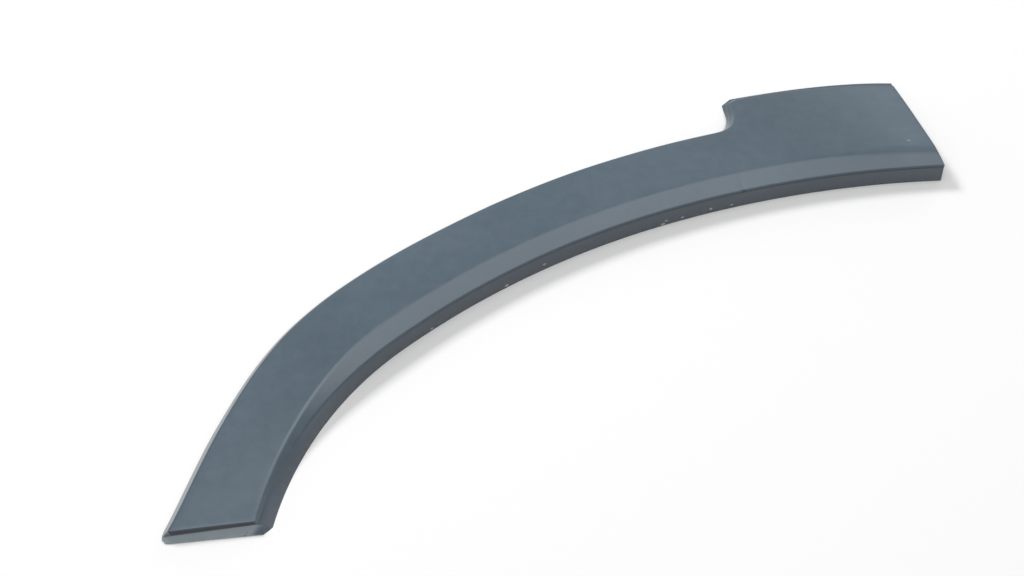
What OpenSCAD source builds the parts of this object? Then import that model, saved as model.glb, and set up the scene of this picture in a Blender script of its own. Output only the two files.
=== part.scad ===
// Wheel arch repair panel: one pressed steel sheet, lying face up on its turned edges.
//
// The sheet is laid out along the foot of its wheel opening flange. Every point of it has
// three values: s, the length along that foot, d, the distance outward from it, and a height.
// Going outward, the section is a return flange, a fold, a narrow bevel, a soft crease, a
// crowned face and a turned-down rim. The sill end is joggled down to a sloping lap strip,
// and the other end widens into a tab behind a notch.

/* [Wheel opening] */
// Heading of the flange foot where it leaves the sill end, in degrees from +X
start_heading = 78; // [72:1:84]
// Radius of the tight lower corner of the opening
corner_r = 224; // [200:1:260]
// Turn of the lower corner, in degrees
corner_turn = 37; // [32:1:40]
// Radius of the shoulder above the corner
shoulder_r = 540; // [450:5:650]
// Turn of the shoulder, in degrees
shoulder_turn = 20; // [16:1:24]
// Radius of the long crown of the arch
crown_r = 650; // [550:5:800]
// Turn of the crown as far as the cut end, in degrees
crown_turn = 17.8; // [15:0.1:20]

/* [Section] */
// Thickness of the sheet
sheet_t = 1; // [0.8:0.1:1]
// Height of the fold between flange and bevel
fold_z = 15; // [12:0.5:15.5]
// Lean of the flange over its height
fold_d = 0.8; // [0.4:0.1:2]
// Height of the crease between bevel and face
crease_z = 19; // [18.5:0.5:22]
// Distance of the crease from the flange foot
crease_d = 14.2; // [12:0.1:17]
// Fall of the face just past the crease, as a slope
face_slope = 0.15; // [0.1:0.01:0.18]
// Fall of the face at the cut end, which lets the tab's outer corner down to the table
end_slope = 0.2; // [0.1:0.01:0.21]
// Crown of the face: how fast that fall grows, per mm
face_crown = 0.0005; // [0:0.0001:0.0006]
// Distance of the crease from the flange foot at the cut end
end_crease_d = 11.8; // [11:0.1:17]

/* [Band and tab] */
// Width of the band, flange foot to rim foot
band_w = 58.4; // [55:0.1:64]
// Width of the band at the shoulder of the opening, where it is fullest
shoulder_w = 59.8; // [56:0.1:64]
// Width at the waist just above the sill end
waist_w = 56.4; // [55:0.1:60]
// Width at the sill end
sill_w = 64.1; // [62:0.1:65]
// Width of the tab beside the notch, flange foot to rim foot
tab_w = 89.8; // [84:0.1:94]
// Width of the tab at the cut end
tab_end_w = 87; // [82:0.1:94]
// Length along the foot at which the notch wall stands
notch_s = 409.6; // [380:0.1:430]
// Radius in the root of the notch
notch_r = 11.8; // [9:0.1:14]
// Length of the snip across the corner of the tab, along the foot
snip_along = 6.2; // [5.5:0.1:8]
// Width of that snip, outward from the foot
snip_out = 4.1; // [3.5:0.1:5]
// Lean of the cut end: how far its outer corner runs back
end_lean = 17.6; // [10:0.1:20]

/* [Turned-down rim] */
// Depth of the rim below the face
rim_h = 6; // [3:0.1:6.2]
// Width of the rim seen from above
rim_w = 2.8; // [2.8:0.1:4]
// Width of the flared rim in the notch
notch_rim_w = 4.6; // [3:0.1:5]

/* [Sill end] */
// Height of the crease at the sill end, where the whole section runs shallow
sill_crease_z = 7.9; // [7:0.1:8]
// Distance of the crease from the flange foot there
sill_crease_d = 9.8; // [9.5:0.1:12]
// Length over which the section grows to its full depth
growth = 150; // [120:1:180]
// Lean of the cut sill end: how far it runs back for each mm of width
sill_lean = 0.29; // [0.285:0.005:0.3]
// Lean of the joggle's line, which narrows the lap strip outward
step_lean = 0.338; // [0.33:0.002:0.344]
// Length of the lap strip at the foot, from its cut to the joggle
strip_l = 5; // [4.8:0.1:5.3]
// Height of the joggle's step at the outer edge of the face, where it is highest
joggle_h = 4.9; // [4.8:0.1:5.4]

/* [Hidden] */

// Where the sill end meets the line of the flange foot
sill_s = -9.8;
// Distance and height of the fold there, low on the bevel
sill_fold_d = 8.2;
sill_fold_z = 4.7;
// Where the fold starts to come down from over the foot, and the length that it takes
sunk_s = 0;
sunk_l = 150;
// Height of the lap strip's cut end, and its rise for each mm of length
strip_z = 0.9 * sheet_t;
strip_rise = 0.83;
// Length that the step itself takes, so that it leans a little
step_l = 0.8;
// Corner cut off the foot of the flange at the sill end, outward and along
snip_d = 4.4;
snip_l = 4.4;
// Depth of the round on the sill end's outer corner
sill_round = 6.4;
// Length of band over which the stations turn square again past the leaning sill end
square_l = 70;
// Half-lengths of the bends at the fold, at the rim and at the crease, which turns soft at the
// cut end
fold_bend = 1.3 * sheet_t;
rim_bend = 1.1;
crease_bend = 1.7;
end_crease_bend = 7;
// Groove under the fold: its place below the fold, its depth and the half-length of its bend
groove_l = 2.8;
groove_d = 0.7;
groove_bend = 0.6;
// Largest share of a side that one bend may take
bend_share = 0.42;
// Distance past the crease at which the face takes over from the bend
face_start = 10;
// Where the band is at its narrowest, and the length over which it fills out again
waist_s = 42;
fill_l = 68;
// Where the full shoulder ends, and the length over which it settles to the band's width
shoulder_s = 150;
settle_l = 90;
// Headings against the flange foot: of the notch where its root ends, and of its wall
root_h = 60;
wall_h = 86;
// Radius of the curve from the root to the wall
curve_r = 26;
// Length of tab over which the rim narrows again, and part of the tab in which the mitre fades
narrow_l = 15;
mitre_part = 0.17;
// Parts of the tab after which the crease turns soft and drifts toward the flange
soften_from = 0.35;
drift_from = 0.75;
// How fast the tab narrows toward the cut end, as a power of the way along it
narrow_power = 4;
// How far the cut end is tucked in along the foot from the crease outward, and kicked out at
// the fold
tuck = 1;
kick = 0.9;
// Steps in the bends and in the face
fold_steps = 4;
groove_steps = 2;
crease_steps = 3;
face_steps = 5;
// Steps round the notch's root, round its curve, up its wall and along the tab
root_steps = 5;
curve_steps = 3;
wall_steps = 3;
tab_steps = 14;
// Distance between stations along the band
band_step = 7.5;
// Inset of the line from which the face runs out to the rim
face_inset = 7.5;
// How far the foot of the rim is kept clear of the table
rim_floor = 0.75 * sheet_t;
// Least share of the thickness that a sharp corner may leave square to its faces
sharpest = 0.6;

// Smooth step from 0 to 1 as x goes from 0 to 1
function ease(x) = let (t = min(1, max(0, x))) t * t * (3 - 2 * t);
function mix(a, b, t) = a + (b - a) * t;
// Degrees turned by a length l on a radius r
function turned(l, r) = l / r * 180 / PI;

// The foot of the flange, a chain of three tangent arcs that turn to the right
arc_r = [corner_r, shoulder_r, crown_r];
arc_turn = [corner_turn, shoulder_turn, crown_turn];
arc_l = [for (i = [0:2]) arc_r[i] * arc_turn[i] * PI / 180];
arc_s = [0, arc_l[0], arc_l[0] + arc_l[1]];
arc_heading = [start_heading, start_heading - arc_turn[0],
               start_heading - arc_turn[0] - arc_turn[1]];
foot_l = arc_l[0] + arc_l[1] + arc_l[2];

// Plan step from heading a to heading b on a right-hand bend of radius r
function bend_step(r, a, b) = r * [sin(a) - sin(b), cos(b) - cos(a)];
arc_start = [[0, 0],
             bend_step(arc_r[0], arc_heading[0], arc_heading[1]),
             bend_step(arc_r[0], arc_heading[0], arc_heading[1])
             + bend_step(arc_r[1], arc_heading[1], arc_heading[2])];

function arc_of(s) = s < arc_s[1] ? 0 : s < arc_s[2] ? 1 : 2;
function heading(s) = let (i = arc_of(s)) arc_heading[i] - turned(s - arc_s[i], arc_r[i]);
// Plan place of the point s along the foot and d outward from it
function plan(s, d) =
    let (i = arc_of(s), h = heading(s))
    arc_start[i] + bend_step(arc_r[i], arc_heading[i], h) + d * [-sin(h), cos(h)];

// Growth of the section from the shallow sill end, 0, to its full depth, 1
function depth(s) = ease((s - sill_s) / growth);
// How far along the tab, from 0 at the notch to 1 at the cut end
function on_tab(s) = min(1, max(0, (s - notch_s) / (foot_l - notch_s)));
// Change toward the cut end, from 0 at the given part of the tab to 1
function change(s, from) = ease((on_tab(s) - from) / (1 - from));
function crease(s) =
    [mix(mix(sill_crease_d, crease_d, depth(s)), end_crease_d, change(s, drift_from)),
     mix(sill_crease_z, crease_z, depth(s))];
// The fold stands over the foot along the arch, and sinks into the bevel toward the sill
function stand(s) = ease((s - sunk_s) / sunk_l);
function fold(s) = [mix(sill_fold_d, fold_d, stand(s)), mix(sill_fold_z, fold_z, depth(s))];
// The groove under the fold, which fades where the fold sinks
function groove(s) = fold(s) * (1 - groove_l / norm(fold(s))) + [groove_d * stand(s), 0];
function face_z(s, d) =
    let (x = d - crease(s)[0], slope = mix(face_slope, end_slope, ease(on_tab(s))))
    crease(s)[1] - depth(s) * (slope * x + face_crown * x * x);

// A smooth bend at b between a and c, whose legs are each l long where there is room
function leg(from, to, l) = from + (to - from) * min(bend_share, l / norm(to - from));
function bend(a, b, c, l, steps) =
    [for (i = [0:steps]) let (t = i / steps)
        (1 - t) * (1 - t) * leg(b, a, l) + 2 * t * (1 - t) * b + t * t * leg(b, c, l)];

// Flange, fold, bevel and crease at s, as [d, z] points going outward from the foot
function inner_section(s) =
    let (past = crease(s)[0] + face_start,
         soft = mix(crease_bend, end_crease_bend, change(s, soften_from)))
    concat([[0, 0], groove(s) * 0.5],
           bend([0, 0], groove(s), fold(s), groove_bend, groove_steps),
           bend(groove(s), fold(s), crease(s), fold_bend, fold_steps),
           bend(fold(s), crease(s), [past, face_z(s, past)], soft, crease_steps));

// Distance run back at d by a line across the band that leans, but is straight on the plan
function back(lean, d) = lean * d * corner_r / (corner_r + d);
// Distance of a point along the foot from the cut, and from the joggle's line
function past_sill(s, d) = s - sill_s + back(sill_lean, d);
function past_step(s, d) = s - sill_s - strip_l + back(step_lean, d);
// Height of the lap strip, then of the step
function sill_z(s, d) =
    let (up = max(0, past_step(s, d)))
    strip_z + strip_rise * (past_sill(s, d) - up) + joggle_h * up / step_l;

// Width of the band at s: it narrows fast from the sill end to the waist, fills out to the
// shoulder and eases down again along the crown
sill_corner_s = sill_s - back(sill_lean, sill_w);
function band_edge(s) =
    s < waist_s ? mix(waist_w, sill_w, pow((waist_s - s) / (waist_s - sill_corner_s), 3))
                : mix(waist_w, shoulder_w, ease((s - waist_s) / fill_l))
                  + (band_w - shoulder_w) * ease((s - shoulder_s) / settle_l);

// Places on the foot past the cut from which lines fan out across the strip and the step. The
// outer corner is rounded over them.
sill_l = strip_l + step_l;
sill_marks = concat([for (part = [0, 0.08, 0.33, 0.67, 1]) part * strip_l], [sill_l]);
function sill_edge(x) =
    let (lean = mix(sill_lean, step_lean, min(1, x / strip_l)),
         full = band_edge(sill_s + x - back(lean, sill_w)),
         d = full - sill_round * (1 - sqrt(1 - pow(1 - x / sill_l, 2))))
    [sill_s + x - back(lean, d), d, lean * pow(corner_r / (corner_r + d), 2), -1];

// Inward way of a line with heading h against the foot, that of a mitred corner between the
// headings a and b, and a point of an arc that turns left from heading a to heading b
function inward(h) = [sin(h), -cos(h)];
function mitre(a, b) = inward((a + b) / 2) / cos((a - b) / 2);
function arc_edge(centre, r, a, b, t) =
    let (v = inward(mix(a, b, t))) [centre[0] + r * v[0], centre[1] + r * v[1], v[0], v[1]];
function line_edge(p, q, v, w, t) = concat(mix(p, q, t), mix(v, w, t));

// The notch: a root and a wider curve, both round, then a straight wall up to the snipped tip
wall_low = [notch_s, band_w + notch_r * (1 - cos(root_h)) + curve_r * (cos(root_h) - cos(wall_h))];
curve_centre = wall_low - curve_r * inward(wall_h);
root_centre = curve_centre + (curve_r - notch_r) * inward(root_h);
root_from = root_centre[0];
tip_d = tab_w - snip_out;
tip = [notch_s + (tip_d - wall_low[1]) / tan(wall_h), tip_d];
tab_start = tip + [snip_along, snip_out];
snip_h = atan2(snip_out, snip_along);
tip_way = mitre(wall_h, snip_h);
start_way = mitre(snip_h, 0);

// The tab's outer edge. Its inward way turns from the mitre to the lean of the cut end.
end_way = end_lean * crown_r / (tab_end_w * (crown_r + tab_end_w));
function tab_edge(t) =
    [mix(tab_start[0], foot_l - end_lean, t), mix(tab_w, tab_end_w, pow(t, narrow_power)),
     mix(end_way, start_way[0], max(0, 1 - t / mitre_part)), -1];

// The trimmed edge past the joggle, as far as the cut end. Each point has its s and d, then the
// way inward from it, as the change of s and d for each mm of gap that a parallel line leaves.
edge = concat(
    [for (s = [sill_corner_s + band_step : band_step : root_from - band_step / 2])
        [s, band_edge(s), 0, -1]],
    [for (i = [0:root_steps - 1]) arc_edge(root_centre, notch_r, 0, root_h, i / root_steps)],
    [for (i = [0:curve_steps - 1]) arc_edge(curve_centre, curve_r, root_h, wall_h, i / curve_steps)],
    [for (i = [0:wall_steps]) line_edge(wall_low, tip, inward(wall_h), tip_way, i / wall_steps)],
    [for (i = [0:tab_steps]) tab_edge(i / tab_steps)]);

// Point of the flange foot that the edge point p is joined to
function foot_of(p) =
    let (on = p[0] < root_from ? 0 : min(1, max(0, p[1] - band_w) / (tab_end_w - band_w)))
    p[0] + back(step_lean, p[1]) * ease(1 - p[0] / square_l) + end_lean * on;
// The rim widens in the notch, and narrows again along the tab
function rim_width(p) =
    let (wide = ease((p[0] - root_from) / notch_r) * ease(1 - (p[0] - tab_start[0]) / narrow_l))
    mix(rim_w, notch_rim_w, wide);
// Drop of the rim at a gap g in from the edge, over a rim w wide
function rim_drop(g, w) =
    let (x = w - g, k = rim_h / w)
    x < -rim_bend ? 0 : x > rim_bend ? k * x : k * pow(x + rim_bend, 2) / (4 * rim_bend);

// Share of a station's run along the foot that is made by d, so that it is straight on the plan
function run(d, reach, r) = d * (r + reach) / (reach * (r + d));
// Length along the foot at d and z, on the station from a to the point [s, d] in
function along(a, in, d, z, r) =
    let (past = min(1, d / crease(a)[0]),
         shift = kick * min(1, z / fold_z) * (1 - past) - tuck * past)
    mix(a + shift * change(a, drift_from), in[0], run(d, in[1], r));
// Outer surface along the line from the flange foot at a to the edge point p. Its rows are
// points [s, d, height]: those of the inner section, of the face, and of the rim.
function station(a, p) =
    let (w = rim_width(p),
         edge_at = [p[0], p[1]],
         in = [p[2], p[3]],
         inset = edge_at + face_inset * in,
         r = arc_r[arc_of(a)],
         snip = snip_d * max(0, 1 - past_sill(a, 0) / snip_l),
         section = inner_section(a),
         last = section[len(section) - 1][0],
         inner = [for (q = section) let (d = snip + q[0] * (1 - snip / inset[1]))
                     [along(a, inset, d, q[1], r), d, q[1]]],
         face = [for (i = [1:face_steps]) let (d = mix(last, inset[1], i / face_steps))
                     [along(a, inset, d, face_z(a, d), r), d, face_z(a, d)]],
         rim = [for (g = [w + rim_bend, w + rim_bend / 3, w - rim_bend / 3, w - rim_bend, 0])
                   let (q = edge_at + g * in)
                   [q[0], q[1], face_z(a, q[1]) - rim_drop(g, w)]],
         rows = concat(inner, face, rim))
    [for (j = [0:len(rows) - 1])
        let (q = rows[j], xy = plan(q[0], q[1]), z = min(q[2], sill_z(q[0], q[1])))
        [xy[0], xy[1], j == 0 ? 0 : max(z, rim_floor)]];

outer = concat([for (x = sill_marks) station(sill_s + x, sill_edge(x))],
               [for (p = edge) station(foot_of(p), p)]);
ni = len(outer);
nj = len(outer[0]);

// Offset of the inner surface: the sheet's thickness against each of the faces around a point
function unit(v) = v / norm(v);
function face_normals(g, i, j) =
    [for (a = [[1, 0, 0, 1], [0, 1, -1, 0], [-1, 0, 0, -1], [0, -1, 1, 0]])
        if (i + a[0] >= 0 && i + a[0] < ni && j + a[1] >= 0 && j + a[1] < nj
            && i + a[2] >= 0 && i + a[2] < ni && j + a[3] >= 0 && j + a[3] < nj)
            unit(cross(g[i + a[0]][j + a[1]] - g[i][j], g[i + a[2]][j + a[3]] - g[i][j]))];
function total(list, i = 0) = i == len(list) - 1 ? list[i] : list[i] + total(list, i + 1);
function inner_point(g, i, j) =
    let (n = face_normals(g, i, j),
         way = unit(total(n)),
         fit = total([for (v = n) v * way]) / len(n),
         q = g[i][j] - way * sheet_t / max(sharpest, fit))
    [q[0], q[1], max(q[2], 0)];
// The foot is cut level with the table, so its inner corner is found on the line of the flange
function foot_point(g, i, q1) = q1 + (g[i][0] - g[i][1]) * q1[2] / (g[i][1][2] - g[i][0][2]);
inner = [for (i = [0:ni - 1])
    let (row = [for (j = [0:nj - 1]) inner_point(outer, i, j)])
    [for (j = [0:nj - 1]) j == 0 ? foot_point(outer, i, row[1]) : row[j]]];

// Closes two matching grids of points into one sheet
function flat(rows) = [for (r = rows) for (p = r) p];
module sheet(top, under) {
    under_at = ni * nj;
    function at(i, j) = i * nj + j;
    top_faces = [for (i = [0:ni - 2], j = [0:nj - 2])
        each [[at(i, j), at(i, j + 1), at(i + 1, j + 1)], [at(i, j), at(i + 1, j + 1), at(i + 1, j)]]];
    under_faces = [for (f = top_faces) [under_at + f[0], under_at + f[2], under_at + f[1]]];
    // Way round the sheet, by its four sides
    rim = concat([for (j = [0:nj - 1]) at(0, j)], [for (i = [1:ni - 1]) at(i, nj - 1)],
                 [for (j = [nj - 2:-1:0]) at(ni - 1, j)], [for (i = [ni - 2:-1:1]) at(i, 0)]);
    sides = [for (k = [0:len(rim) - 1])
        let (a = rim[k], b = rim[(k + 1) % len(rim)])
        each [[a, under_at + a, under_at + b], [a, under_at + b, b]]];
    polyhedron(concat(flat(top), flat(under)), concat(top_faces, under_faces, sides), convexity = 6);
}

// Middle of the panel's plan box, which becomes the origin
all_x = [for (p = flat(concat(outer, inner))) p[0]];
all_y = [for (p = flat(concat(outer, inner))) p[1]];
middle = [min(all_x) + max(all_x), min(all_y) + max(all_y)] / 2;

module wheel_arch_panel() {
    color("slategray")
        translate([-middle[0], -middle[1], 0])
            sheet(outer, inner);
}

wheel_arch_panel();
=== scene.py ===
# %% [markdown]
# A wheel arch repair panel, pressed from one sheet of steel and dipped in blue-grey primer.
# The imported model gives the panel's true place and size. It is the frame that everything here
# has to agree with, so it is loaded first and its box is measured before anything is made.
# All the shaping below is done in millimetres, as a press shop would, and turned into metres
# only when a mesh is made.

import math

import bmesh
import bpy
import numpy as np
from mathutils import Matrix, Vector


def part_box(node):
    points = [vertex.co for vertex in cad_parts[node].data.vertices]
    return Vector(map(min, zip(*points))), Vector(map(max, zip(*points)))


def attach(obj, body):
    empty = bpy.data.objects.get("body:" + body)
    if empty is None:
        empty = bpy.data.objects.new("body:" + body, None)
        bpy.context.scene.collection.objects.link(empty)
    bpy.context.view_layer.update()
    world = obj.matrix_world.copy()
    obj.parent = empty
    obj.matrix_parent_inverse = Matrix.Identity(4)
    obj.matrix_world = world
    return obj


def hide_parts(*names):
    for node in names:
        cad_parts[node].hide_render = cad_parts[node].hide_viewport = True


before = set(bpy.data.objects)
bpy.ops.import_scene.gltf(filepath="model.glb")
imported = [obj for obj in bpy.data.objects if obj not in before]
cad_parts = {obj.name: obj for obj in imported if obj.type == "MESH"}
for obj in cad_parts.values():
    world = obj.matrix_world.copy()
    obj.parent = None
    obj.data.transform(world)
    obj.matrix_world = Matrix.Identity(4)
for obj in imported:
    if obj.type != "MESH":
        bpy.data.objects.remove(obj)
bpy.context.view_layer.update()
NODE = "wheel_arch_panel"
MM = 0.001
box_low, box_high = (np.array(corner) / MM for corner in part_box(NODE))
print("the panel's box in mm:", box_low.round(2), box_high.round(2))

# %% [markdown]
# The camera stands in front of the wheel opening and looks down on the panel, which lies on its
# turned edges. Its height was found by trial: at 55 degrees the foot of the flange, which lies
# flat on the table, keeps true arcs. Blender's lens is given in mm on a sensor 36 mm wide, so a
# focal length in pixels of the 1024 pixel frame is scaled by 36 / 1024.

# %% Set up the camera
FRAME_PX = 1024
FOCAL_PX = 2000
SENSOR_MM = 36
ELEVATION = math.radians(55)
AZIMUTH = math.radians(0.375)
LOOK_AT = Vector((-40.63, 5.91, 0)) * MM
DISTANCE = 1298.4 * MM

camera_data = bpy.data.cameras.new("camera")
camera_data.sensor_fit = "HORIZONTAL"
camera_data.sensor_width = SENSOR_MM
camera_data.lens = FOCAL_PX * SENSOR_MM / FRAME_PX
camera_data.clip_start = 0.05
camera = bpy.data.objects.new("camera", camera_data)
out_from_target = Vector((math.cos(ELEVATION) * math.sin(AZIMUTH),
                          -math.cos(ELEVATION) * math.cos(AZIMUTH),
                          math.sin(ELEVATION)))
camera.location = LOOK_AT + DISTANCE * out_from_target
camera.rotation_euler = (math.pi / 2 - ELEVATION, 0, AZIMUTH)
bpy.context.scene.collection.objects.link(camera)
bpy.context.scene.camera = camera
print("camera at", [round(v, 3) for v in camera.location], "lens", round(camera_data.lens, 2))

# %% [markdown]
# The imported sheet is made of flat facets, 7.5 mm apart, and a satin primer would show every one
# of them. So the sheet is made again here from the same rules with finer steps, and this mesh
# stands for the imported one. The rules are a pattern maker's: every point of the sheet has a
# length s along the foot of the flange, a distance d outward from it, and a height.
# The foot itself is a chain of three arcs that meet without a kink, turning to the right.

# %% Draw the foot of the flange
def ease(x):
    """Smooth step from 0 to 1 as x goes from 0 to 1."""
    t = np.clip(x, 0, 1)
    return t * t * (3 - 2 * t)


def mix(a, b, t):
    return a + (b - a) * t


ARC_R = np.array([224.0, 540.0, 650.0])
ARC_TURN = np.radians([37, 20, 17.8])
ARC_HEADING = math.radians(78) - np.concatenate([[0], np.cumsum(ARC_TURN)[:-1]])
ARC_S = np.concatenate([[0], np.cumsum(ARC_R * ARC_TURN)[:-1]])
FOOT_L = float(np.sum(ARC_R * ARC_TURN))


def bend_step(r, a, b):
    """Plan step from heading a to heading b on a right-hand bend of radius r."""
    r = np.asarray(r)
    return np.stack([r * (np.sin(a) - np.sin(b)), r * (np.cos(b) - np.cos(a))], -1)


arc_steps = bend_step(ARC_R, ARC_HEADING, ARC_HEADING - ARC_TURN)
ARC_START = np.concatenate([[[0, 0]], np.cumsum(arc_steps, 0)[:-1]])


def arc_of(s):
    """Which of the three arcs the point s is on."""
    return np.clip(np.searchsorted(ARC_S, s, side="right") - 1, 0, 2)


def plan(s, d):
    """Plan place of the points s along the foot and d outward from it."""
    s, d = np.broadcast_arrays(np.asarray(s, float), np.asarray(d, float))
    i = arc_of(s)
    h = ARC_HEADING[i] - (s - ARC_S[i]) / ARC_R[i]
    outward = np.stack([-np.sin(h), np.cos(h)], -1)
    return ARC_START[i] + bend_step(ARC_R[i], ARC_HEADING[i], h) + d[..., None] * outward


print("the foot is", round(FOOT_L, 1), "mm long")

# %% [markdown]
# Across the band the sheet stands up as a return flange, folds over a narrow bevel, and comes to
# a soft crease where the face begins. The face falls away outward with a slight crown. Toward
# the sill all of this runs shallow. Each of these is one short function of s, so that the whole
# section can be asked for anywhere along the arch.
# Just under the fold the flange is set in by less than a millimetre, where the folding tool
# nipped it. From in front that groove is the thin dark line under the fold.

# %% Shape the section
SHEET_T = 1.0
FOLD_Z, FOLD_D = 15.0, 0.8
CREASE_Z, CREASE_D, END_CREASE_D = 19.0, 14.2, 11.8
FACE_SLOPE, END_SLOPE, FACE_CROWN = 0.15, 0.2, 0.0005
SILL_S, GROWTH = -9.8, 150.0
SILL_CREASE_Z, SILL_CREASE_D = 7.9, 9.8
SILL_FOLD_D, SILL_FOLD_Z, SUNK_S, SUNK_L = 8.2, 4.7, 0.0, 150.0
GROOVE_L, GROOVE_D = 2.8, 0.7
NOTCH_S, DRIFT_FROM, SOFTEN_FROM = 409.6, 0.75, 0.35


def depth(s):
    """Growth of the section from the shallow sill end, 0, to its full depth, 1."""
    return ease((s - SILL_S) / GROWTH)


def on_tab(s):
    """How far along the tab, from 0 at the notch to 1 at the cut end."""
    return np.clip((s - NOTCH_S) / (FOOT_L - NOTCH_S), 0, 1)


def change(s, start):
    """Change toward the cut end, from 0 at the given part of the tab to 1."""
    return ease((on_tab(s) - start) / (1 - start))


def crease(s):
    return np.array([mix(mix(SILL_CREASE_D, CREASE_D, depth(s)), END_CREASE_D, change(s, DRIFT_FROM)),
                     mix(SILL_CREASE_Z, CREASE_Z, depth(s))])


def stand(s):
    """How far the fold stands over the foot, from 0 where it is sunk in the bevel to 1."""
    return ease((s - SUNK_S) / SUNK_L)


def fold(s):
    return np.array([mix(SILL_FOLD_D, FOLD_D, stand(s)), mix(SILL_FOLD_Z, FOLD_Z, depth(s))])


def groove(s):
    return fold(s) * (1 - GROOVE_L / np.linalg.norm(fold(s))) + [GROOVE_D * stand(s), 0]


def face_z(s, d):
    """Height of the face at d, falling away past the crease."""
    x = d - crease(s)[0]
    slope = mix(FACE_SLOPE, END_SLOPE, ease(on_tab(s)))
    return crease(s)[1] - depth(s) * (slope * x + FACE_CROWN * x * x)


print("section at the crown: groove", groove(250.0).round(2), "fold", fold(250.0).round(2),
      "crease", crease(250.0).round(2))

# %% [markdown]
# A press can't make a sharp corner, so groove, fold and crease are bends. Each is a quadratic
# curve whose middle point is the corner and whose legs lie along the two sides. That is quick
# to work out, touches both sides without a kink, and its steps can be as fine as wanted.
# The crease is crisp along the arch and washes out over the last third of the tab.

# %% Bend the corners
FOLD_BEND, GROOVE_BEND, RIM_BEND = 1.3 * SHEET_T, 0.6, 1.1
CREASE_BEND, END_CREASE_BEND = 1.7, 7.0
BEND_SHARE, FACE_START = 0.42, 10.0
FLANGE_SHARE = 0.85
FLANGE_STEPS, GROOVE_STEPS, FOLD_STEPS, CREASE_STEPS, FACE_STEPS = 6, 4, 8, 8, 16


def leg(start, end, length):
    way = end - start
    return start + way * min(BEND_SHARE, length / np.linalg.norm(way))


def bend(a, b, c, length, steps):
    """A smooth bend at b between a and c."""
    t = np.linspace(0, 1, steps + 1)[:, None]
    return (1 - t) ** 2 * leg(b, a, length) + 2 * t * (1 - t) * b + t ** 2 * leg(b, c, length)


def inner_section(s):
    """Flange, groove, fold, bevel and crease at s, as rows of d and height."""
    foot = np.array([0.0, 0.0])
    past = crease(s)[0] + FACE_START
    face = np.array([past, face_z(s, past)])
    soft = mix(CREASE_BEND, END_CREASE_BEND, change(s, SOFTEN_FROM))
    low = mix(foot, groove(s), np.linspace(0, FLANGE_SHARE, FLANGE_STEPS)[:, None])
    return np.concatenate([low, bend(foot, groove(s), fold(s), GROOVE_BEND, GROOVE_STEPS),
                           bend(groove(s), fold(s), crease(s), FOLD_BEND, FOLD_STEPS),
                           bend(fold(s), crease(s), face, soft, CREASE_STEPS)])


fold_row = FLANGE_STEPS + GROOVE_STEPS + 1 + FOLD_STEPS // 2
crease_row = FLANGE_STEPS + GROOVE_STEPS + 1 + FOLD_STEPS + 1 + CREASE_STEPS // 2
print("rows from foot to face:", len(inner_section(250.0)), "fold is row", fold_row,
      "crease is row", crease_row)

# %% [markdown]
# The sill end is joggled: past a step the sheet drops to a narrow lap strip, which slopes down
# to the table and goes behind the sill. The strip is a plane that cuts the sheet off, and the
# step is the share of the way back up to the sheet. Working with a share, from 0 on the strip
# to 1 on the face, keeps the head of the step even wherever the face is higher or lower.
# The step's line leans a little more than the cut end, so the strip narrows outward.

# %% Joggle the sill end
SILL_LEAN, STEP_LEAN = 0.29, 0.338
STRIP_L, STEP_L, JOGGLE_H = 5.0, 0.8, 4.9
STRIP_Z, STRIP_RISE = 0.9 * SHEET_T, 0.83
SILL_L = STRIP_L + STEP_L
PAST_STEP = 3.0
HIP_ROUND = 0.5
STEP_FOOT_BEND, STEP_FOOT_STEPS = 0.3, 4
STEP_HEAD_BEND, STEP_HEAD_STEPS = 0.8, 7

strip_point = np.array([-2.0, 0.0])
step_foot = np.array([0.0, 0.0])
step_head = np.array([STEP_L, JOGGLE_H])
past_head = step_head + [PAST_STEP, 0]
foot_bend = bend(strip_point, step_foot, step_head, STEP_FOOT_BEND, STEP_FOOT_STEPS)
head_bend = bend(step_foot, step_head, past_head, STEP_HEAD_BEND, STEP_HEAD_STEPS)
step_profile = np.concatenate([[strip_point], foot_bend, head_bend, [past_head]])


def back(lean, d):
    """Distance run back at d by a line that leans across the band, straight on the plan."""
    return lean * d * ARC_R[0] / (ARC_R[0] + d)


def past_sill(s, d):
    return s - SILL_S + back(SILL_LEAN, d)


def past_step(s, d):
    return s - SILL_S - STRIP_L + back(STEP_LEAN, d)


def step_share(s, d):
    """Share of the step that a point has climbed: 0 on the strip, 1 on the face."""
    return np.interp(past_step(s, d), step_profile[:, 0], step_profile[:, 1] / JOGGLE_H)


def lower_of(a, b, rounding):
    """The lower of a and b, with the corner between them rounded."""
    t = np.clip(0.5 + 0.5 * (b - a) / rounding, 0, 1)
    return mix(b, a, t) - rounding * t * (1 - t)


def joggled(s, d, z):
    """Height after the joggle of a point of the sheet at s, d and z."""
    strip = STRIP_Z + STRIP_RISE * (past_sill(s, d) - np.maximum(0, past_step(s, d)))
    return mix(lower_of(z, strip, HIP_ROUND), z, step_share(s, d))


print("the step's profile has", len(step_profile), "points, its head is", step_head.round(2))

# %% [markdown]
# Next comes the trimmed outline. Each of its points holds s and d, and then the way inward from
# it, as the change of s and d for each mm of gap that a parallel line leaves. That second pair
# is what lets the rim keep an even width round the notch and through the tab's corner.
# The band is narrowest just above the sill, fills out at the shoulder and settles again.
# Across the strip the lines fan out from the cut end's lean to the step's, and the outer corner
# is rounded over them.

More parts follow.
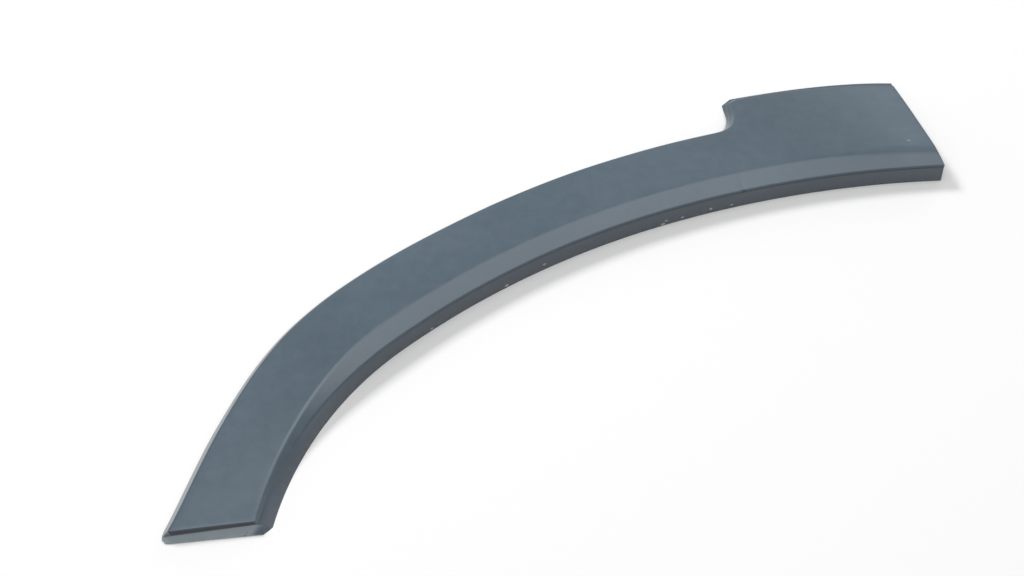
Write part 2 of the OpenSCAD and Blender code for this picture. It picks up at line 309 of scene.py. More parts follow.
# %% Trim the band and the sill end
BAND_W, SHOULDER_W, WAIST_W, SILL_W = 58.4, 59.8, 56.4, 64.1
WAIST_S, FILL_L, SHOULDER_S, SETTLE_L = 42.0, 68.0, 150.0, 90.0
SILL_ROUND, BAND_STEP = 6.4, 2.5
STRIP_PARTS = np.array([0, 0.08, 0.33])
sill_corner_s = SILL_S - back(SILL_LEAN, SILL_W)


def band_edge(s):
    if s < WAIST_S:
        return mix(WAIST_W, SILL_W, ((WAIST_S - s) / (WAIST_S - sill_corner_s)) ** 3)
    full = mix(WAIST_W, SHOULDER_W, ease((s - WAIST_S) / FILL_L))
    return full + (BAND_W - SHOULDER_W) * ease((s - SHOULDER_S) / SETTLE_L)


def sill_edge(x):
    """Outline point of the line that leaves the foot at x past the cut end."""
    lean = mix(SILL_LEAN, STEP_LEAN, min(1, x / STRIP_L))
    left = max(0, 1 - x / SILL_L)
    full = band_edge(SILL_S + x - back(lean, SILL_W))
    d = full - SILL_ROUND * (1 - math.sqrt(1 - left ** 2))
    slope = lean * (ARC_R[0] / (ARC_R[0] + d)) ** 2
    return [SILL_S + x - back(lean, d), d, slope * ease((SILL_L + PAST_STEP - x) / PAST_STEP), -1]


sill_marks = np.concatenate([STRIP_L * STRIP_PARTS, STRIP_L + step_profile[:, 0]])
sill_part = [sill_edge(x) for x in sill_marks]
sill_top_s = sill_part[-1][0]
print("stations on the strip and the step:", len(sill_part))

# %% [markdown]
# The notch has a round root, then a wider curve, then a short straight wall up to a tip, where
# the corner of the tab is snipped off. Round the curves the inward way turns with them. Up the
# wall it swings toward the mitre, so that the rows of the two rims meet on one line at the tip,
# as they do in folded sheet.

# %% Trim the notch and the tab
TAB_W, TAB_END_W, END_LEAN, NARROW_POWER = 89.8, 87.0, 17.6, 4
NOTCH_R, CURVE_R, SNIP_ALONG, SNIP_OUT = 11.8, 26.0, 6.2, 4.1
ROOT_H, WALL_H = math.radians(60), math.radians(86)
MITRE_PART = 0.17
ROOT_STEPS, CURVE_STEPS, WALL_STEPS, SNIP_STEPS, TAB_STEPS = 18, 10, 10, 6, 46


def inward(h):
    """Inward way from a line with heading h against the foot."""
    return np.array([math.sin(h), -math.cos(h)])


def mitre(a, b):
    """Inward way at a corner between the headings a and b."""
    return inward((a + b) / 2) / math.cos((a - b) / 2)


def arc_edge(centre, r, a, b, t):
    way = inward(mix(a, b, t))
    return [*(centre + r * way), *way]


def line_edge(p, q, v, w, t):
    return [*mix(p, q, t), *mix(v, w, t)]


wall_low = np.array([NOTCH_S, BAND_W + NOTCH_R * (1 - math.cos(ROOT_H))
                     + CURVE_R * (math.cos(ROOT_H) - math.cos(WALL_H))])
curve_centre = wall_low - CURVE_R * inward(WALL_H)
root_centre = curve_centre + (CURVE_R - NOTCH_R) * inward(ROOT_H)
root_from = root_centre[0]
tip_d = TAB_W - SNIP_OUT
tip = np.array([NOTCH_S + (tip_d - wall_low[1]) / math.tan(WALL_H), tip_d])
tab_start = tip + [SNIP_ALONG, SNIP_OUT]
snip_h = math.atan2(SNIP_OUT, SNIP_ALONG)
tip_way, start_way = mitre(WALL_H, snip_h), mitre(snip_h, 0)
end_way = END_LEAN * ARC_R[2] / (TAB_END_W * (ARC_R[2] + TAB_END_W))


def tab_edge(t):
    return [mix(tab_start[0], FOOT_L - END_LEAN, t), mix(TAB_W, TAB_END_W, t ** NARROW_POWER),
            mix(end_way, start_way[0], max(0, 1 - t / MITRE_PART)), -1]


band_part = [[s, band_edge(s), 0, -1] for s in np.arange(sill_top_s + BAND_STEP, root_from, BAND_STEP)]
notch_part = (
    [arc_edge(root_centre, NOTCH_R, 0, ROOT_H, t) for t in np.linspace(0, 1, ROOT_STEPS + 1)[:-1]]
    + [arc_edge(curve_centre, CURVE_R, ROOT_H, WALL_H, t) for t in np.linspace(0, 1, CURVE_STEPS + 1)[:-1]]
    + [line_edge(wall_low, tip, inward(WALL_H), tip_way, t) for t in np.linspace(0, 1, WALL_STEPS + 1)]
    + [line_edge(tip, tab_start, tip_way, start_way, t) for t in np.linspace(0, 1, SNIP_STEPS + 1)[1:-1]])
tab_part = [tab_edge(t) for t in np.linspace(0, 1, TAB_STEPS + 1)]
outline = np.array(band_part + notch_part + tab_part)
print("stations: sill", len(sill_part), "band", len(band_part), "notch", len(notch_part),
      "tab", len(tab_part), "tip at", tip.round(1))

# %% [markdown]
# A station is the line across the sheet from one point of the outline to the foot. It leans
# where the sill end and the cut end lean, so that both stay straight, and it turns square in
# between. Its rows go up the flange, over the face and down the rim, whose drop is a slope
# eased in with a short curve. Along the leg the rim's foot has been pulled out a millimetre more,
# so that its wall shows as a pale line. The cut end isn't quite one plane: the shears left it
# tucked in a little along the face and kicked out at the fold.

# %% Run a line across the sheet
RIM_H, RIM_W, NOTCH_RIM_W = 6.0, 2.8, 4.6
SNIP_D, SNIP_L, SQUARE_L = 4.4, 4.4, 70.0
NARROW_L, FACE_INSET, RIM_FLOOR = 15.0, 7.5, 0.75 * SHEET_T
TUCK, KICK = 1.0, 0.9
PULLED_OUT = 1.2
PULLED_FROM, PULL_GROWS = -25.0, 8.0
PULLED_TO, PULL_FADES = 210.0, 70.0
RIM_STEPS, LIP_STEPS = 8, 4


def foot_of(p):
    """The point of the foot that the outline point p is joined to."""
    on_end = 0 if p[0] < root_from else min(1, max(0, p[1] - BAND_W) / (TAB_END_W - BAND_W))
    return p[0] + back(STEP_LEAN, p[1]) * ease(1 - p[0] / SQUARE_L) + END_LEAN * on_end


def rim_width(p):
    wide = ease((p[0] - root_from) / NOTCH_R) * ease(1 - (p[0] - tab_start[0]) / NARROW_L)
    return mix(RIM_W, NOTCH_RIM_W, wide)


def rim_pull(p):
    """How far the foot of the rim is pulled out at the outline point p."""
    grown = ease((p[0] - PULLED_FROM) / PULL_GROWS)
    return PULLED_OUT * grown * ease((PULLED_TO - p[0]) / PULL_FADES)


def rim_drop(gap, w):
    """Drop of the rim at a gap in from the edge, over a rim w wide."""
    x = w - gap
    k = RIM_H / w
    eased = k * (x + RIM_BEND) ** 2 / (4 * RIM_BEND)
    return np.where(x < -RIM_BEND, 0, np.where(x > RIM_BEND, k * x, eased))


def along_station(a, inset, d, z, r):
    """Length along the foot at d and z, on the station from a to the point inset."""
    past = np.minimum(1, d / crease(a)[0])
    shift = KICK * np.minimum(1, z / FOLD_Z) * (1 - past) - TUCK * past
    run = d * (r + inset[1]) / (inset[1] * (r + d))
    return mix(a + shift * change(a, DRIFT_FROM), inset[0], run)


def station(a, p):
    """Rows of s, d and height along the line from the foot at a to the outline point p."""
    p = np.asarray(p)
    w = rim_width(p)
    inset = p[:2] + FACE_INSET * p[2:]
    snip = SNIP_D * max(0, 1 - past_sill(a, 0) / SNIP_L)
    section = inner_section(a)
    d_inner = snip + section[:, 0] * (1 - snip / inset[1])
    d_face = mix(section[-1, 0], inset[1], np.linspace(0, 1, FACE_STEPS + 1)[1:])
    d = np.concatenate([d_inner, d_face])
    z = np.concatenate([section[:, 1], face_z(a, d_face)])
    across = np.stack([along_station(a, inset, d, z, ARC_R[arc_of(a)]), d, z], -1)
    gaps = np.concatenate([np.linspace(w + RIM_BEND, w - RIM_BEND, RIM_STEPS + 1),
                           np.linspace(w - RIM_BEND, 0, LIP_STEPS + 1)[1:]])
    drop = rim_drop(gaps, w)
    q = p[:2] + (gaps - rim_pull(p) * drop / RIM_H)[:, None] * p[2:]
    rim = np.stack([q[:, 0], q[:, 1], face_z(a, q[:, 1]) - drop], -1)
    return np.concatenate([across, rim])


lines = np.array([station(SILL_S + x, p) for x, p in zip(sill_marks, sill_part)]
                 + [station(foot_of(p), p) for p in outline])
s_grid, d_grid = lines[..., 0], lines[..., 1]
height = np.maximum(joggled(s_grid, d_grid, lines[..., 2]), RIM_FLOOR)
height[:, 0] = 0
print("the sheet is a grid of", lines.shape[0], "stations by", lines.shape[1], "rows")

# %% [markdown]
# The panel has had a hard life in a warehouse. A knock has left one small dent on the fold, to
# the right of the notch, and the face was never quite flat as it came off the press. Both are
# pressed into the grid here, before it gets its thickness, so that the underside follows.
# The waves are a tenth of a millimetre, which is enough to make a satin sheen wander, and they
# die away toward the crease and the rim.

# %% Knock the fold and let the face wave
DENT_S, DENT_L, DENT_DEPTH = 398.0, 1.6, 0.15
DENT_RISE, DENT_H, DENT_REACH = 0.2, 0.8, 4.0
DENT_IN, DENT_DOWN = 0.7, 0.6
WAVE, WAVE_SHIFT, SHORT_SHARE = 0.1, 0.6, 0.6
WAVE_L, WAVE_W, SHORT_L, SLANT_W = 23.0, 17.0, 9.7, 31.0
WAVE_FROM_D, WAVE_GROWS_D = 20.0, 15.0
WAVE_FROM_Z, WAVE_GROWS_Z = 6.0, 4.0

dent_up = height - FOLD_Z - DENT_RISE
dent_away = (s_grid - DENT_S) ** 2 / DENT_L ** 2 + dent_up ** 2 / DENT_H ** 2
near_fold = d_grid < FOLD_D + DENT_REACH
dent = np.where(near_fold, DENT_DEPTH * np.exp(-dent_away), 0)
on_face = (ease((d_grid - WAVE_FROM_D) / WAVE_GROWS_D)
           * ease((height - WAVE_FROM_Z) / WAVE_GROWS_Z))
wave = WAVE * on_face * (np.sin(s_grid / WAVE_L + WAVE_SHIFT) * np.sin(d_grid / WAVE_W)
                         + SHORT_SHARE * np.sin(s_grid / SHORT_L + d_grid / SLANT_W))
grid_xy = plan(s_grid, d_grid + DENT_IN * dent)
outer = np.concatenate([grid_xy, (height - DENT_DOWN * dent + wave)[..., None]], -1)
print("deepest point of the dent", round(float(dent.max()), 2), "mm, highest wave",
      round(float(abs(wave).max()), 2), "mm")

# %% [markdown]
# The sheet's other side lies one thickness away, square to the faces round each point. It is
# worked out from the directions to the neighbours: their cross products are the four corner
# normals, and their mean, lengthened a little at a tight bend, is the way to go.
# At the joggle the fine steps are closer than the sheet is thick and would cross on the inside
# of the bend. There only every few stations are offset, and the rest is filled in between.

# %% Give the sheet its thickness
SHARPEST = 0.6


def corner_normals(g):
    """The normals of the four corners round each point of a grid, NaN past its sides."""
    pad = np.pad(g, ((1, 1), (1, 1), (0, 0)), constant_values=np.nan)
    around_point = [pad[2:, 1:-1], pad[1:-1, 2:], pad[:-2, 1:-1], pad[1:-1, :-2]]
    found = []
    for k in range(4):
        n = np.cross(around_point[k] - g, around_point[(k + 1) % 4] - g)
        found.append(n / np.linalg.norm(n, axis=-1, keepdims=True))
    return np.stack(found)


def other_side(g):
    """The grid of the underside, one thickness below the grid g."""
    normals = corner_normals(g)
    way = np.nanmean(normals, 0)
    way /= np.linalg.norm(way, axis=-1, keepdims=True)
    fit = np.nanmean(np.sum(normals * way, -1), 0)
    below = g - way * (SHEET_T / np.maximum(SHARPEST, fit))[..., None]
    below[..., 2] = np.maximum(below[..., 2], 0)
    up = below[:, 1]
    flange_way = (g[:, 0] - g[:, 1]) / (g[:, 1, 2] - g[:, 0, 2])[:, None]
    below[:, 0] = up + flange_way * up[:, 2:3]
    return below


on_strip = [0, STRIP_L * STRIP_PARTS[-1], STRIP_L + strip_point[0]]
sparse_x = on_strip + [STRIP_L, SILL_L, sill_marks[-1]]
sparse = [int(np.argmin(abs(sill_marks - x))) for x in sparse_x]
chosen = sparse + list(range(len(sill_marks), len(outer)))
under = np.empty_like(outer)
under[chosen] = other_side(outer[chosen])
for k in set(range(len(sill_marks))) - set(sparse):
    b = int(np.searchsorted(sill_marks[sparse], sill_marks[k]))
    before, behind = sparse[b - 1], sparse[b]
    part = (sill_marks[k] - sill_marks[before]) / (sill_marks[behind] - sill_marks[before])
    under[k] = mix(under[before], under[behind], part)
thick = np.linalg.norm(outer - under, axis=-1)
print("thickness through the sheet, mm: middle", round(float(np.median(thick)), 3),
      "least", round(float(thick.min()), 2), "most", round(float(thick.max()), 2))

# %% [markdown]
# The two grids and the strip round their edge make one closed mesh. It is moved so that the
# middle of its plan is the origin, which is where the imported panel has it, and kept inside the
# packed box: finer steps on a round edge reach out a few hundredths of a millimetre more.
# Some lengths are stored on the points for the finish: how far along the arch a point is, how
# far out from the foot, from the fold, from the crease and from the trimmed edge, all measured
# on the surface, and the share of the step that it has climbed.

# %% Make the mesh
ni, nj = outer.shape[:2]
both = np.concatenate([outer.reshape(-1, 3), under.reshape(-1, 3)])
middle = (both.min(0) + both.max(0)) / 2
points = np.clip(both - [middle[0], middle[1], 0], box_low, box_high)


def grid_faces(start, flip):
    i, j = np.meshgrid(np.arange(ni - 1), np.arange(nj - 1), indexing="ij")
    at = start + i * nj + j
    quad = np.stack([at, at + nj, at + nj + 1, at + 1], -1).reshape(-1, 4)
    return quad[:, ::-1] if flip else quad


count = ni * nj
around = np.array(list(range(nj)) + [i * nj + nj - 1 for i in range(1, ni)]
                  + [(ni - 1) * nj + j for j in range(nj - 2, -1, -1)]
                  + [i * nj for i in range(ni - 2, 0, -1)])
after = np.roll(around, -1)
edge_faces = np.stack([around, after, count + after, count + around], -1)
faces = np.concatenate([grid_faces(0, False), grid_faces(count, True), edge_faces])

mesh = bpy.data.meshes.new("dressed_panel")
mesh.from_pydata((points * MM).tolist(), [], faces.tolist())
row_l = np.cumsum(np.linalg.norm(np.diff(outer, axis=1, prepend=outer[:, :1]), axis=-1), 1)
stored = {"along": s_grid * MM, "from_foot": row_l * MM,
          "from_edge": (row_l[:, -1:] - row_l) * MM,
          "past_fold": (row_l - row_l[:, fold_row:fold_row + 1]) * MM,
          "past_crease": (row_l - row_l[:, crease_row:crease_row + 1]) * MM,
          "climbed": step_share(s_grid, d_grid)}
for name, value in stored.items():
    layer = mesh.attributes.new(name, "FLOAT", "POINT")
    layer.data.foreach_set("value", np.tile(value.reshape(-1), 2).astype(np.float32))
panel = bpy.data.objects.new("dressed_panel", mesh)
bpy.context.scene.collection.objects.link(panel)
print("mesh:", len(mesh.vertices), "points,", len(mesh.polygons), "faces, from",
      points.min(0).round(2), "to", points.max(0).round(2))

# %% [markdown]
# The shears leave crisp edges, but never a knife edge: each cut corner is broken by a tenth of
# a millimetre. Those corners are found by their angle and bevelled. Everything else is shaded
# smooth, with the cut corners kept hard so that the thin side of the sheet reads as flat.

# %% Break the cut corners
CUT_ANGLE = math.radians(50)
BROKEN = 0.12

work = bmesh.new()
work.from_mesh(mesh)
work.normal_update()
rim_points = set(around.tolist())
cut = [e for e in work.edges
       if len(e.link_faces) == 2 and e.calc_face_angle(0) > CUT_ANGLE
       and min(v.index % count for v in e.verts) in rim_points]
bmesh.ops.bevel(work, geom=cut, offset=BROKEN * MM, segments=1, profile=0.5, affect="EDGES",
                clamp_overlap=True)
work.to_mesh(mesh)
work.free()
mesh.shade_smooth()
mesh.set_sharp_from_angle(angle=CUT_ANGLE)
mesh.validate()
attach(panel, "root")
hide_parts(NODE)
print("bevelled", len(cut), "cut edges, now", len(mesh.polygons), "faces")

# %% [markdown]
# The finish is built from nodes. So that it can be read as sums, one small class wraps a
# socket: adding or multiplying two wires adds the Math node that does it, and a plain number
# may stand on either side. Every other node comes from its one method, which sets the node up
# before it fills or links the sockets.

# %% Wrap a socket
class Wire:
    """One output of a node, which can be used in sums."""

    def __init__(self, tree, socket=None):
        self.tree = tree
        self.socket = socket

    def node(self, kind, settings=None, inputs=None, output=None):
        """Adds a node, sets it up, fills or links its sockets and returns one output."""
        made = self.tree.nodes.new(kind)
        for name, value in (settings or {}).items():
            if name == "stops":
                stops = made.color_ramp.elements
                while len(stops) < len(value):
                    stops.new(0.5)
                for stop, (position, colour_there) in zip(stops, value):
                    stop.position = position
                    stop.color = colour_there
            else:
                setattr(made, name, value)
        for name, value in (inputs or {}).items():
            socket = made.inputs[name] if isinstance(name, int) else next(
                s for s in made.inputs if s.name == name and s.enabled)
            if isinstance(value, Wire):
                self.tree.links.new(value.socket, socket)
            else:
                socket.default_value = value
        first = next(s for s in made.outputs if s.enabled) if made.outputs else None
        return Wire(self.tree, made.outputs[output] if output else first)

    def maths(self, operation, *values):
        return self.node("ShaderNodeMath", {"operation": operation}, dict(enumerate(values)))

    def __add__(self, other):
        return self.maths("ADD", self, other)

    __radd__ = __add__

    def __mul__(self, other):
        return self.maths("MULTIPLY", self, other)

    __rmul__ = __mul__

    def __sub__(self, other):
        return self.maths("SUBTRACT", self, other)

    def __rsub__(self, other):
        return self.maths("SUBTRACT", other, self)

    def __pow__(self, other):
        return self.maths("POWER", self, other)

    def between(self, low, high):
        """0 at low, 1 at high, and smooth in between. low may be the larger."""
        return self.node("ShaderNodeMapRange", {"interpolation_type": "SMOOTHSTEP"},
                         {"Value": self, "From Min": low, "From Max": high})

    def near(self, place, reach):
        """1 at place, falling smoothly to 0 at reach away from it."""
        return self.maths("ABSOLUTE", self - place).between(reach, 0)

    def most(self, other):
        return self.maths("MAXIMUM", self, other)


def blank_material(name):
    """A material with only its output node, that node, and a wire to start from."""
    material = bpy.data.materials.new(name)
    material.use_nodes = True
    material.node_tree.nodes.clear()
    output = material.node_tree.nodes.new("ShaderNodeOutputMaterial")
    return material, output, Wire(material.node_tree)


print("the wire class is ready")

# %% [markdown]
# Primer on a pressed panel is a thin, slightly uneven film. Over a hand's width it is a shade
# lighter or darker where the dip ran, over a few millimetres it is mottled, and dust and
# overspray give it a fine tooth. All of it comes from noise in the object's own coordinates,
# which are metres, so that the grain keeps its real size from any side.

# %% Mix the primer's colour
DEEP = (0.067, 0.096, 0.122, 1)
PRIMER = (0.085, 0.118, 0.147, 1)
PALE = (0.105, 0.141, 0.174, 1)

primed, primed_output, start = blank_material("primed_steel")
object_place = start.node("ShaderNodeTexCoord", output="Object")


def noise(scale, detail=3.0, roughness=0.5):
    """Noise from 0 to 1, with scale in features for each metre."""
    return start.node("ShaderNodeTexNoise", inputs={
        "Vector": object_place, "Scale": scale, "Detail": detail, "Roughness": roughness})


def blend(a, b, factor):
    """Colour a where the factor is 0 and b where it is 1."""
    return start.node("ShaderNodeMix", {"data_type": "RGBA"}, {"Factor": factor, "A": a, "B": b})


def stored_length(name):
    return start.node("ShaderNodeAttribute", {"attribute_name": name}, output="Fac")


runs = noise(9, detail=2)
mottle = noise(120, detail=4, roughness=0.6)
tooth = noise(1500, detail=2, roughness=0.7)
shade = 0.5 + (runs - 0.5) * 0.9 + (mottle - 0.5) * 0.55 + (tooth - 0.5) * 0.25
colour = start.node("ShaderNodeValToRGB", {"stops": [(0.15, DEEP), (0.5, PRIMER), (0.85, PALE)]},
                    {"Fac": shade})
print("primer from", DEEP[:3], "to", PALE[:3])

# %% [markdown]
# Where the sheet turns, light and shade are painted into the film. The leg's crease, the rim
# round the notch and the lap strip get painted highlights. The groove under the fold and the
# joggle's step, which is the darkest line on the panel, get painted shade, and so, faintly, does
# a line along the bend over the rim. The flange as a whole is a dirtier grey than the face.
# On the tab the bevel gets painted shade toward the cut end, which hides the crease there.
# The flange's grey and these painted marks are each a mask made of the stored lengths.
# The pairs below say where a mask is 0 and where it is 1, in mm along the foot or across the
# section.

# %% Paint shade into the corners and highlights on the edges
# Painted shade colour, also used to darken the dent.
PAINTED_DARK = (0.010, 0.016, 0.026, 1)
GRUBBY = (0.090, 0.108, 0.131, 1)
# Worn primer for the speck and the scratch, and a painted highlight on the leg's crease.
WORN_AND_HIGHLIGHT = (0.235, 0.262, 0.280, 1)
# Painted highlight colour for the rim round the notch and the rim's wall.
RIM_HIGHLIGHT = (0.350, 0.360, 0.365, 1)
# Painted highlight colour for the lap strip.
LAP_HIGHLIGHT_TONE = (0.280, 0.330, 0.360, 1)
NOTCH_LIP_S, NOTCH_LIP_L = 403.0, 9.0
STANDING_S, CREASE_HIGHLIGHT_S, LEG_S = (70.0, 150.0), (190.0, 100.0), (230.0, 130.0)
TAB_S, WALL_S = (430.0, 490.0), (345.0, 320.0)
FLANGE_TOP, BEVEL_LOW, BEVEL_TOP = (-0.6, -1.6), (-0.6, 0.2), (0.5, -0.5)
LIP, WALL, STEP_RIM = (4.2, 3.2), (6.8, 6.0), (2.6, 4.2)
LEG_WALL, LEG_RIM = 0.6, 3.3
LAP_INNER, STEP_INNER = (-6.0, 0.0), (-1.5, 0.5)
GROOVE_AT, GROOVE_REACH, CREASE_REACH = -1.6, 1.7, 1.3
RIM_LINE_AT, RIM_LINE_REACH = 4.7, 1.2

along, climbed = stored_length("along"), stored_length("climbed")
from_foot, from_edge = stored_length("from_foot"), stored_length("from_edge")
past_fold, past_crease = stored_length("past_fold"), stored_length("past_crease")


def fade(length, ends):
    """0 at the first of two ends in mm along a stored length, 1 at the second."""
    return length.between(ends[0] * MM, ends[1] * MM)


patches = noise(70, detail=4, roughness=0.6).between(0.3, 0.7)
on_flange = fade(past_fold, FLANGE_TOP)
colour = blend(colour, GRUBBY, on_flange * (0.45 + patches * 0.35))
# Painted shade in the groove under the fold.
groove_shade = past_fold.near(GROOVE_AT * MM, GROOVE_REACH * MM) * fade(along, STANDING_S)
colour = blend(colour, PAINTED_DARK, groove_shade * 0.95)

# Painted shade on the tab's bevel toward the cut end, evening it with the face.
bevel_end_shade = fade(along, TAB_S) * fade(past_crease, BEVEL_TOP)
colour = blend(colour, DEEP, bevel_end_shade * fade(past_fold, BEVEL_LOW) * 0.6)
# Painted highlight along the leg's crease.
crease_highlight = past_crease.near(0, CREASE_REACH * MM) * fade(along, CREASE_HIGHLIGHT_S)
colour = blend(colour, WORN_AND_HIGHLIGHT, crease_highlight * (0.05 + mottle * 0.2))

on_leg = fade(along, LEG_S)
leg_edge = from_edge - on_leg * (LEG_RIM * MM)
# Painted shade in a faint line along the bend over the rim.
rim_bend_shade = leg_edge.near(RIM_LINE_AT * MM, RIM_LINE_REACH * MM) * climbed
colour = blend(colour, PAINTED_DARK, rim_bend_shade * (0.28 - on_leg * 0.1))
# Painted highlight on the rim round the notch.
notch_rim_highlight = fade(from_edge, LIP) * along.near(NOTCH_LIP_S * MM, NOTCH_LIP_L * MM)
colour = blend(colour, RIM_HIGHLIGHT, notch_rim_highlight * (0.3 + patches * 0.2))
# Mask of the rim's wall, where a pale diffuse shader is mixed in as a painted highlight.
rim_wall_highlight = fade(from_edge - on_leg * (LEG_WALL * MM), WALL) * fade(along, WALL_S) * climbed

# Painted highlight on the lap strip.
painted_lap_light = climbed.between(0.1, 0) * fade(past_crease, LAP_INNER)
colour = blend(colour, LAP_HIGHLIGHT_TONE, painted_lap_light * (0.75 + mottle * 0.25))
# Painted shade on the joggle's step.
step_band = climbed.between(0.02, 0.3) * climbed.between(0.99, 0.75)
step_shade = step_band * fade(past_crease, STEP_INNER)
colour = blend(colour, PAINTED_DARK, step_shade * fade(from_edge, STEP_RIM) * 0.9)
# The groove and the step carry painted shade, and the crease and the rim carry painted highlights.
print("grime in the groove and on the step, wear on the crease and the rim")

# %% [markdown]
# The foot of the flange has been scuffed on shelves and floors: its primer is browner there, and
# bright steel shows in a few small chips. The dent on the fold is darkened, and the face carries
# one light speck and a short faint scratch. A chip is a spot a little longer along the foot than
# up it, and its rim is broken up by noise, so the distance to its middle is disturbed before it
# is compared with its size.

# %% Add chips, a scratch and a darkened dent
CHIPS = [(226.5, 2.0, 1.3), (255.0, 5.0, 0.9), (341.5, 1.6, 1.1), (343.8, 4.0, 0.9),
         (355.5, 2.8, 0.9), (375.5, 3.8, 1.0), (390.5, 3.0, 0.8), (168.0, 1.8, 0.8)]
SPECK = (515.0, 37.6, 1.1)
SPOT_LENGTHWAYS, SPOT_CORE = 0.45, 0.55
SCRATCH_FROM, SCRATCH_TO, SCRATCH_OUT, SCRATCH_SLOPE = 502.0, 520.0, 50.1, 0.06
SCRATCH_REACH = 0.35
DENT_DARK_AT, DENT_DARK_REACH = -0.4, 1.8
LOW_FLANGE = (9.0, 2.0)
RUBBED = (0.154, 0.148, 0.156, 1)
STEEL = (0.46, 0.47, 0.48, 1)

ragged = (noise(900, detail=3) - 0.5) * 1.5 * MM


def spot_at(s, up, size):
    """1 inside a ragged spot at s along the foot and up the section, 0 outside it."""
    away_s, away_up = along - s * MM, from_foot - up * MM
    away = (away_s * away_s * SPOT_LENGTHWAYS + away_up * away_up) ** 0.5 + ragged
    return away.between(size * MM, SPOT_CORE * size * MM)


chipped = spot_at(*CHIPS[0])
for chip in CHIPS[1:]:
    chipped = chipped.most(spot_at(*chip))
low_flange = fade(from_foot, LOW_FLANGE) * noise(260, detail=4, roughness=0.65).between(0.42, 0.62)
dent_reach = DENT_DARK_REACH * MM
in_dent = along.near(DENT_S * MM, dent_reach) * past_fold.near(DENT_DARK_AT * MM, dent_reach)
speck = spot_at(*SPECK)
scratch_climb = (along - SCRATCH_FROM * MM) * SCRATCH_SLOPE
scratch_line = (from_foot - SCRATCH_OUT * MM - scratch_climb).near(0, SCRATCH_REACH * MM)
scratch_ends = fade(along, (SCRATCH_FROM, SCRATCH_FROM + 3)) * fade(along, (SCRATCH_TO, SCRATCH_TO - 5))
scratch = scratch_line * scratch_ends
colour = blend(colour, RUBBED, low_flange * 0.35)
# The dent is darkened in colour.
colour = blend(colour, PAINTED_DARK, in_dent * 0.85)
colour = blend(colour, WORN_AND_HIGHLIGHT, speck.most(scratch * 0.4) * 0.6)
colour = blend(colour, STEEL, chipped)
print(len(CHIPS), "chips on the foot, one dent, one speck and one scratch")

# %% [markdown]
# Light finds a primed sheet by its gloss. This one is satin: about 0.34 rough, a little
# smoother where it was handled and rougher where dust lies. Chips are bare metal, so they turn
# metallic and smoother. The film's tooth and the press's faint ripple are bump, whose strength
# stays low, because a metre of sheet with a loud grain looks like a model. On the rim's wall a
# plain pale diffuse shader is mixed in as a painted highlight: with its gloss the wall would
# mirror the white floor at a grazing angle and vanish against it.

# %% Finish the primer
sheen = 0.34 + (mottle - 0.5) * 0.16 + (tooth - 0.5) * 0.12 + on_flange * 0.08
roughness = sheen - chipped * 0.12
relief = tooth * 0.35 + mottle * 0.5 - chipped * 0.8
bumped = start.node("ShaderNodeBump", inputs={"Strength": 0.12, "Distance": 0.2 * MM, "Height": relief})
film = start.node("ShaderNodeBsdfPrincipled", inputs={
    "Base Color": colour, "Roughness": roughness, "Metallic": chipped * 0.9, "Normal": bumped,
    "IOR": 1.5})
# A pale diffuse shader for the rim's wall: a painted highlight.
rim_wall_shader = start.node("ShaderNodeBsdfDiffuse", inputs={"Color": RIM_HIGHLIGHT})
finish = start.node("ShaderNodeMixShader", inputs={
    0: rim_wall_highlight * (0.85 + patches * 0.1), 1: film, 2: rim_wall_shader})
primed.node_tree.links.new(finish.socket, primed_output.inputs["Surface"])
panel.data.materials.clear()
panel.data.materials.append(primed)
print("primed_steel has", len(primed.node_tree.nodes), "nodes")

# %% [markdown]
# The panel lies on a white sheet. The floor's colour does the work of the background: what the
# camera sees of it, straight or in a gloss, is a little brighter than what lights the panel from
# below, so that it goes to white without a stronger lamp. It still takes the panel's shadow.

# %% Lay the floor
FLOOR_SEEN = (0.86, 0.86, 0.86, 1)
FLOOR_BOUNCE = (0.72, 0.72, 0.72, 1)
FLOOR_REACH = 8

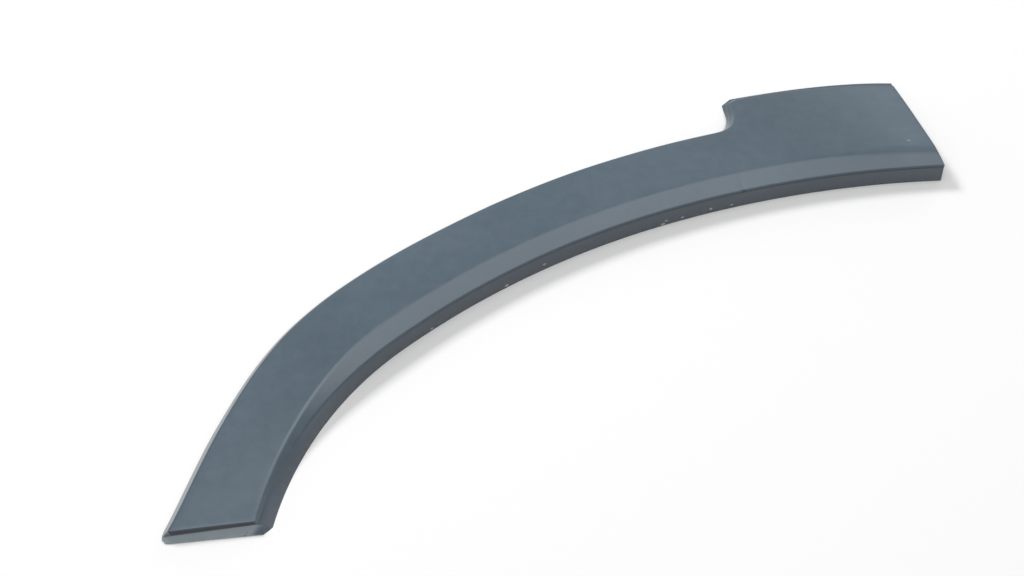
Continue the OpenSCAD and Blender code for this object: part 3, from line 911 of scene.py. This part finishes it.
floor_mesh = bpy.data.meshes.new("floor")
floor_corners = [(x * FLOOR_REACH, y * FLOOR_REACH, 0) for x, y in ((-1, -1), (1, -1), (1, 1), (-1, 1))]
floor_mesh.from_pydata(floor_corners, [], [(0, 1, 2, 3)])
floor = bpy.data.objects.new("floor", floor_mesh)
bpy.context.scene.collection.objects.link(floor)

paper, paper_output, blank = blank_material("white_floor")
seen = blank.node("ShaderNodeLightPath", output="Is Camera Ray")
for ray in ("Is Glossy Ray", "Is Transmission Ray"):
    seen = seen.most(blank.node("ShaderNodeLightPath", output=ray))
paper_colour = blank.node("ShaderNodeMix", {"data_type": "RGBA"},
                          {"Factor": seen, "A": FLOOR_BOUNCE, "B": FLOOR_SEEN})
matt = blank.node("ShaderNodeBsdfDiffuse", inputs={"Color": paper_colour})
paper.node_tree.links.new(matt.socket, paper_output.inputs["Surface"])
floor_mesh.materials.append(paper)
print("floor laid at z = 0")

# %% [markdown]
# The room glows, and three lamps stand in it. A very wide one hangs high over the panel: the
# bevel leans back just enough to mirror it, so it is brighter than the face, which mirrors the
# wall behind. The key lamp stands far off at the back left and throws the soft shadow to the
# lower right. It is kept out of reflections, because in a real studio a screen would spread its
# glare, and here it would burn a spot on the shoulder. A weak low lamp at the far right lifts
# the tab. The glow of the room fills the flange, which faces the camera and no lamp.

# %% Light the studio
WORLD_GLOW = 0.35

world = bpy.data.worlds.new("studio")
world.use_nodes = True
world.node_tree.nodes["Background"].inputs["Color"].default_value = (1, 1, 1, 1)
world.node_tree.nodes["Background"].inputs["Strength"].default_value = WORLD_GLOW
scene = bpy.context.scene
scene.world = world
scene.view_settings.view_transform = "Standard"


def soft_lamp(name, spot, target, size, power):
    """A square lamp at spot that faces target."""
    data = bpy.data.lights.new(name, "AREA")
    data.size = size
    data.energy = power
    lamp = bpy.data.objects.new(name, data)
    lamp.location = spot
    lamp.rotation_euler = (Vector(target) - Vector(spot)).to_track_quat("-Z", "Y").to_euler()
    scene.collection.objects.link(lamp)
    return lamp


soft_lamp("overhead", (0.15, -0.08, 3.0), (0.15, -0.08, 0), 2.0, 42)
key = soft_lamp("key", (-2.4, 2.1, 3.1), (0, 0, 0), 1.1, 113)
key.visible_glossy = False
soft_lamp("far_right", (1.0, 1.7, 0.45), (0.2, 0.1, 0), 0.8, 3.5)
